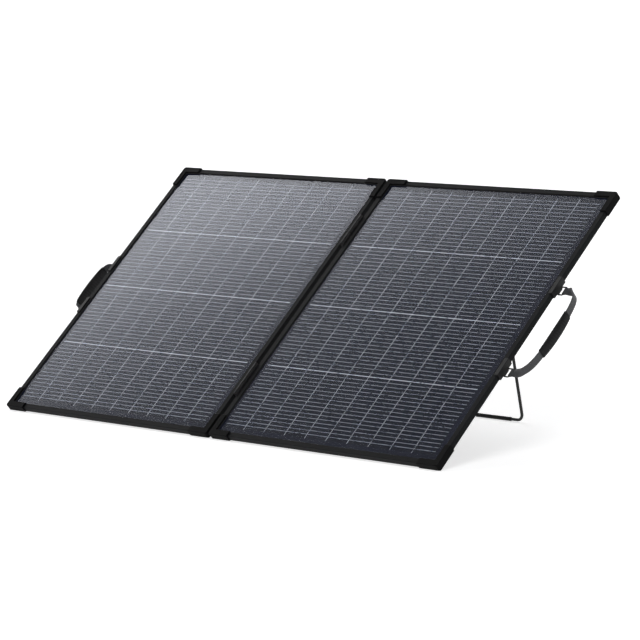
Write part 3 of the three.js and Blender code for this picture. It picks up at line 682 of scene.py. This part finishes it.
def box_stitch(shape, arch, start, direction, face):
    """A sewn box with a cross in it, lying on the strap's surface."""
    s0, s1, half = 7.0, 18.0, 6.2
    corners = [(s0, -half), (s1, -half), (s1, half), (s0, half)]
    runs = [(corners[i], corners[(i + 1) % 4]) for i in range(4)]
    runs += [(corners[0], corners[2]), (corners[1], corners[3])]
    pitch, length, radius = 2.1, 1.5, 0.32
    lift = STRAP_THICK / 2 * (1 + SEWN_EXTRA) * STRAP_WAIST + 0.05
    for a, b in runs:
        total = math.hypot(b[0] - a[0], b[1] - a[1])
        count = max(int(total / pitch), 1)
        for i in range(count):
            t = (i + 0.5) / count
            ds, dv = (b[0] - a[0]) / total, (b[1] - a[1]) / total
            s, v = a[0] + (b[0] - a[0]) * t, a[1] + (b[1] - a[1]) * t
            ends = []
            for half_step in (-length / 2, length / 2):
                centre, width, thick = arch.frame(start + direction * (s + ds * half_step))
                ends.append(centre + width * (v + dv * half_step) + thick * face * lift)
            stitch(shape, ends[0], ends[1], radius)


def stitch(shape, a, b, radius):
    """One thread between two needle holes: a short bead that is thinner at its ends."""
    axis = b - a
    u = axis.orthogonal().normalized()
    v = axis.cross(u).normalized()
    rings = []
    angles = [n * math.pi / 3 for n in range(6)]
    for t, k in ((0, 0.35), (0.2, 0.9), (0.5, 1.0), (0.8, 0.9), (1, 0.35)):
        rings.append([a + axis * t + (u * math.cos(q) + v * math.sin(q)) * radius * k
                      for q in angles])
    shape.rings(rings)


GRIP_HALF_WIDTH, GRIP_INNER, GRIP_OUTER = 11.5, 3.5, 3.6
RIB_PITCH, RIB_HEIGHT, RIB_SLANT, RIB_START = 7.0, 0.6, 0.35, 14


def add_grip(side):
    """A padded sleeve round the strap: straight inside, swelling outside, cut square at its ends."""
    handle = HANDLES[side]
    arch, shape = Arch(handle), Shape()
    ys = [arch.points[i].y for i in range(len(arch.points))]
    low, high = handle["grip_at"] - handle["grip"] / 2, handle["grip_at"] + handle["grip"] / 2
    s_low = next(arch.length[i] for i, y in enumerate(ys) if y >= low)
    s_high = next(arch.length[i] for i, y in enumerate(ys) if y >= high)
    steps, sides = 150, 40
    rings = []
    for i in range(steps + 1):
        t = i / steps
        s = s_low + (s_high - s_low) * t
        centre, width, thick = arch.frame(s)
        outer_sign = 1 if thick.x > 0 else -1
        rim = min(t, 1 - t) * (s_high - s_low)
        edge = 1 - 0.10 * (1 - smooth_step(rim / 2.0)) + 0.03 * math.sin(math.pi * t)
        channel = 1 - 0.06 * math.exp(-((rim - 7.0) / 0.7) ** 2)
        outer = GRIP_OUTER + handle["bulge"] * math.sin(math.pi * t) ** 0.8
        ring = []
        for k in range(sides):
            a = 2 * math.pi * k / sides
            c, d = math.cos(a), math.sin(a)
            across = math.copysign(abs(c) ** 0.55, c)
            u = GRIP_HALF_WIDTH * across
            v = math.copysign(abs(d) ** 0.8, d) * (outer if d > 0 else GRIP_INNER)
            phase = 2 * math.pi * ((s - s_low) / RIB_PITCH + across * RIB_SLANT)
            held = smooth_step((rim - RIB_START) / 6) * smooth_step((0.9 - abs(across)) / 0.2)
            v += math.copysign(RIB_HEIGHT * held * (0.5 + 0.5 * math.sin(phase)), d)
            ring.append(centre + width * u * edge * channel
                        + thick * outer_sign * v * edge * channel)
        rings.append(ring)
    shape.rings(rings)
    mirror(shape, side)
    grip = make(f"{side}_handle_pad", shape, handle_place(side), f"{side}_handle",
                [MATERIALS["grip"]], smooth=50, nodes=[f"{side}_handle_grip"])


def add_rings(side):
    handle = HANDLES[side]
    for place, sign in (("upper", 1), ("lower", -1)):
        corners = [Vector((x, y, 0)) for x, y in (
            (0, -RING_HALF), (RING_REACH, -RING_HALF), (RING_REACH, RING_HALF), (0, RING_HALF))]
        path = rounded_path(corners, [2.6] * 4, 6, closed=True)
        origin = Vector((RING_AXIS_OUT, sign * handle["spacing"], -RING_AXIS_DEPTH))
        shape = Shape()
        tube(shape, [p + origin for p in path], RING_R, Vector((0, 0, 1)), 18, closed=True)
        mirror(shape, side)
        make(f"{side}_strap_ring_{place}", shape, handle_place(side), f"{side}_handle",
             [MATERIALS["steel"]], nodes=[f"{side}_handle_ring_{place}"])


# ---- Fastenings and gland -------------------------------------------------------------------
def add_fastenings(side):
    shape, back = Shape(), Vector((0, 0, -1))
    for sx in (-1, 1):
        for sy in (-1, 1):
            screw(shape, Vector((sx * (BOX_HALF_X - 7), BOX_Y + sy * (BOX_HALF_Y - 7), -LID_BACK)),
                  back, 2.3, 1.1)
            screw(shape, Vector((sx * (PANEL_W / 2 - 7), sy * (PANEL_H / 2 - 7),
                                 -FRAME_DEPTH - 1.4)), back, 2.6, 1.1)
            screw(shape, Vector((SIGNS[side] * (PANEL_W / 2 - 6.5),
                                 sy * HANDLES[side]["spacing"] + sx * 16, -FRAME_DEPTH - 1.5)),
                  back, 2.2, 1.0)
        screw(shape, Vector((sx * (LEG_HALF_WIDTH - 2.5), LEG_PIVOT_Y - 8, -FRAME_DEPTH - 2.1)),
              back, 2.3, 0.8, socket=False)
        screw(shape, Vector((sx * 8, LEG_PIVOT_Y, -FRAME_DEPTH + 0.1)), back, 2.3, 0.8,
              socket=False)
    make(f"{side}_fastenings", shape, panel_place(side), f"{side}_panel", [SCREW])


def add_gland(side):
    shape = Shape()
    inward = -SIGNS[side]
    depth = (BOX_FRONT + BOX_BACK) / 2
    base = Vector((inward * (BOX_HALF_X + 0.3), BOX_Y, -depth))
    axis = Vector((inward, 0, 0))

    def grip_ribs(j, k):
        return 1.0 + (0.035 if (k // 2) % 2 else -0.035) if 4 <= j <= 6 else 1.0

    profile = [(4.9, 0), (5.3, 0.4), (5.3, 2.7), (4.5, 3.1), (4.45, 3.6), (4.45, 9.2),
               (4.2, 10.3), (3.6, 12.2), (3.1, 13.8), (2.3, 14.0), (2.2, 9.0)]
    lathe(shape, profile, base, axis, 48, grip_ribs)
    make(f"{side}_gland_nut", shape, panel_place(side), f"{side}_panel",
         [MATERIALS["box_plastic"]], nodes=[f"{side}_cable_gland"])


for side in ("right", "left"):
    add_cells(side)
    add_bead(side)
    add_leg(side)
    add_rings(side)
    add_strap(side)
    add_grip(side)
    add_fastenings(side)
    add_gland(side)

# ---- Floor, light and camera ----------------------------------------------------------------
FLOOR_HALF, FLOOR_Z = 80, -0.0005
floor_mesh = bpy.data.meshes.new("floor")
floor_corners = [(x * FLOOR_HALF, y * FLOOR_HALF, 0)
                 for x, y in ((-1, -1), (1, -1), (1, 1), (-1, 1))]
floor_mesh.from_pydata(floor_corners, [], [(0, 1, 2, 3)])
floor_mat, _, floor_bsdf = new_material("pale_floor")
floor_bsdf.inputs["Base Color"].default_value = (0.86, 0.86, 0.865, 1)
floor_bsdf.inputs["Roughness"].default_value = 0.95
floor_bsdf.inputs["Specular IOR Level"].default_value = 0.0
floor_bsdf.inputs["Emission Color"].default_value = (1.0, 1.0, 1.0, 1)
floor_bsdf.inputs["Emission Strength"].default_value = 0.60
floor_mesh.materials.append(floor_mat)
floor = bpy.data.objects.new("floor", floor_mesh)
bpy.context.scene.collection.objects.link(floor)
floor.location.z = FLOOR_Z

world = bpy.data.worlds.new("studio")
bpy.context.scene.world = world
world.use_nodes = True
wt = world.node_tree
background = wt.nodes["Background"]
direction = node(wt, "ShaderNodeTexCoord").outputs["Generated"]
height = node(wt, "ShaderNodeSeparateXYZ", {0: direction}).outputs[2]
sky = node(wt, "ShaderNodeValToRGB", {"Fac": height})
# Brightness of the sky by the height of the direction looked in.
SKY = ((0.03, 1.05), (0.16, 0.42), (0.5, 0.12), (0.9, 0.05))
while len(sky.color_ramp.elements) < len(SKY):
    sky.color_ramp.elements.new(1.0)
for element, (at, level) in zip(sky.color_ramp.elements, SKY):
    element.position, element.color = at, (level, level, level * 1.02, 1)
# A soft patch of light, high on the left, that the glass mirrors. It brightens towards
# PATCH_RISE, up to exp(PATCH_MOST), and ends between the two angles of PATCH_EDGE.
PATCH_AXIS, PATCH_EDGE = Vector((-0.72, 0.12, 0.68)).normalized(), (32, 18)
PATCH_RISE, PATCH_MOST = (-16.47, 44.9, -16.24), 1.05


def dot(tree, value, fixed):
    return node(tree, "ShaderNodeVectorMath", {0: value, 1: fixed},
                operation="DOT_PRODUCT").outputs["Value"]


fade = node(wt, "ShaderNodeMath", {0: dot(wt, direction, PATCH_RISE), 1: PATCH_MOST},
            operation="MINIMUM").outputs[0]
fade = node(wt, "ShaderNodeMath", {0: fade}, operation="EXPONENT").outputs[0]
window = node(
    wt, "ShaderNodeMapRange",
    {"Value": dot(wt, direction, PATCH_AXIS),
     "From Min": math.cos(math.radians(PATCH_EDGE[0])),
     "From Max": math.cos(math.radians(PATCH_EDGE[1])), "To Min": 0.0, "To Max": 1.0},
    interpolation_type="SMOOTHSTEP",
).outputs[0]
patch = node(wt, "ShaderNodeMath", {0: fade, 1: window}, operation="MULTIPLY").outputs[0]
both = node(wt, "ShaderNodeVectorMath", {0: sky.outputs[0], 1: patch}, operation="ADD").outputs[0]
wt.links.new(both, background.inputs["Color"])
background.inputs["Strength"].default_value = 1.0


def aim(obj, target):
    obj.rotation_mode = "QUATERNION"
    obj.rotation_quaternion = (Vector(target) - obj.location).to_track_quat("-Z", "Y")


def sun(name, toward, strength, angle):
    data = bpy.data.lights.new(name, "SUN")
    data.energy, data.angle = strength, math.radians(angle)
    obj = bpy.data.objects.new(name, data)
    bpy.context.scene.collection.objects.link(obj)
    obj.location = Vector(toward) * 5
    aim(obj, (0, 0, 0))


sun("key", (0.35, -1.0, 1.1), 0.85, 30)
sun("fill", (0.9, 0.7, 1.2), 0.6, 60)

# The camera was fitted to the frame's edges and the cell rows.
CAMERA_LENS, CAMERA_AT = 175.07, (4.8527, -4.9510, 1.1412)
CAMERA_RIGHT, CAMERA_UP = (0.7195, 0.6941, -0.0246), (-0.0732, 0.1109, 0.9911)
CAMERA_FORWARD = (-0.6906, 0.7113, -0.1306)
camera_data = bpy.data.cameras.new("camera")
camera_data.sensor_width = 36
camera_data.lens = CAMERA_LENS
camera_data.clip_end = 200
camera = bpy.data.objects.new("camera", camera_data)
bpy.context.scene.collection.objects.link(camera)
camera.matrix_world = basis(
    Vector(CAMERA_RIGHT).normalized(), Vector(CAMERA_UP).normalized(),
    -Vector(CAMERA_FORWARD).normalized(), Vector(CAMERA_AT))
bpy.context.scene.camera = camera
bpy.context.scene.view_settings.view_transform = "Standard"
